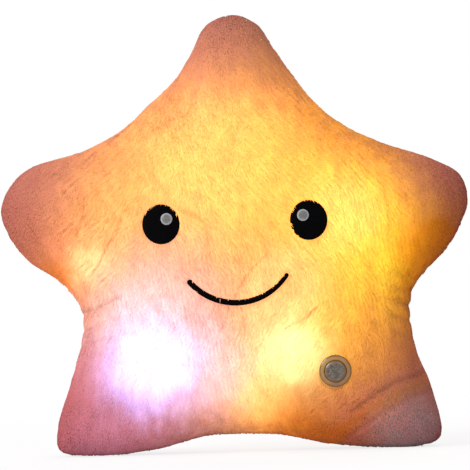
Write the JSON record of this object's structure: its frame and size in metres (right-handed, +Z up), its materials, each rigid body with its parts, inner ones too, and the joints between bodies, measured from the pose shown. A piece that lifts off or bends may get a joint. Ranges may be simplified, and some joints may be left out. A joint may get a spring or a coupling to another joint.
{
  "type": "plush night light",
  "caption": "Plush star night light with an embroidered smiling face, lamps inside, a press button on the front and a zipped battery pocket at the back.",
  "frame": {"origin": "middle of the footprint on the floor, under the two lower points that the star stands on", "axes": "+Z up, the face towards -Y, +X to the right of someone who faces the star"},
  "size_m": [0.3804, 0.1169, 0.3555],
  "materials": {
    "plush": "matte",
    "filling": "matte",
    "black_thread": "satin",
    "grey_thread": "satin",
    "zip_tape": "matte",
    "nylon": "satin",
    "slider_metal": "satin",
    "clear_plastic": "gloss",
    "grey_plastic": "satin",
    "white_plastic": "satin",
    "pouch_cloth": "matte",
    "spring_steel": "satin",
    "cell_sleeve": "gloss",
    "board_green": "satin",
    "chip_black": "matte",
    "lens_clear": "gloss",
    "lead_sheath": "matte"
  },
  "bodies": {
    "star": {"front_panel": "plush", "back_panel": "plush", "front_filling": "filling", "back_filling": "filling", "left_eye": "black_thread", "right_eye": "black_thread", "left_eye_highlight": "grey_thread", "right_eye_highlight": "grey_thread", "mouth": "black_thread", "button_bezel": "clear_plastic", "button_retainer": "white_plastic", "button_housing": "white_plastic", "switch_board": "board_green", "switch_body": "chip_black", "button_spring": "spring_steel", "zip_tape_upper": "zip_tape", "zip_tape_lower": "zip_tape", "zip_teeth_upper": "nylon", "zip_teeth_lower": "nylon", "zip_top_stop_upper": "nylon", "zip_top_stop_lower": "nylon", "zip_bottom_stop": "nylon", "battery_pocket": "pouch_cloth", "battery_box": "white_plastic", "control_board": "board_green", "control_chip": "chip_black", "battery_cell_1": "cell_sleeve", "cell_spring_1": "spring_steel", "cell_contact_1": "spring_steel", "battery_cell_2": "cell_sleeve", "cell_spring_2": "spring_steel", "cell_contact_2": "spring_steel", "battery_cell_3": "cell_sleeve", "cell_spring_3": "spring_steel", "cell_contact_3": "spring_steel", "lamp_board_lower_left": "board_green", "lamp_lens_lower_left": "lens_clear", "lamp_board_lower_right": "board_green", "lamp_lens_lower_right": "lens_clear", "lamp_board_left": "board_green", "lamp_lens_left": "lens_clear", "lamp_board_top": "board_green", "lamp_lens_top": "lens_clear", "lamp_board_right": "board_green", "lamp_lens_right": "lens_clear", "lamp_lead_box": "lead_sheath", "lamp_lead_bottom": "lead_sheath", "lamp_lead_left": "lead_sheath", "lamp_lead_top": "lead_sheath", "lamp_lead_right": "lead_sheath", "switch_lead": "lead_sheath"},
    "button": {"button_cap": "grey_plastic", "switch_plunger": "white_plastic"},
    "slider": {"zip_slider": "slider_metal"},
    "pull": {"zip_pull": "slider_metal"},
    "lid": {"battery_lid": "white_plastic"}
  },
  "joints": [
    {"name": "button_press", "type": "slide", "parent": "star", "child": "button", "axis": [-0.0006, 0.991, 0.1337], "range_m": [0, 0.0015], "stiffness_N_per_m": 250, "springref_m": -0.001, "deforming": ["button_spring"]},
    {"name": "zip_slide", "type": "slide", "parent": "star", "child": "slider", "axis": [1, 0, 0], "range_m": [0, 0.097], "deforming": ["zip_teeth_upper", "zip_teeth_lower"]},
    {"name": "zip_pull_swing", "type": "hinge", "parent": "slider", "child": "pull", "pos_m": [-0.05, 0.0576, 0.16], "axis": [0, 0, 1], "range_deg": [0, 150]},
    {"name": "battery_lid_slide", "type": "slide", "parent": "star", "child": "lid", "axis": [1, 0, 0], "range_m": [0, 0.012]}
  ]
}
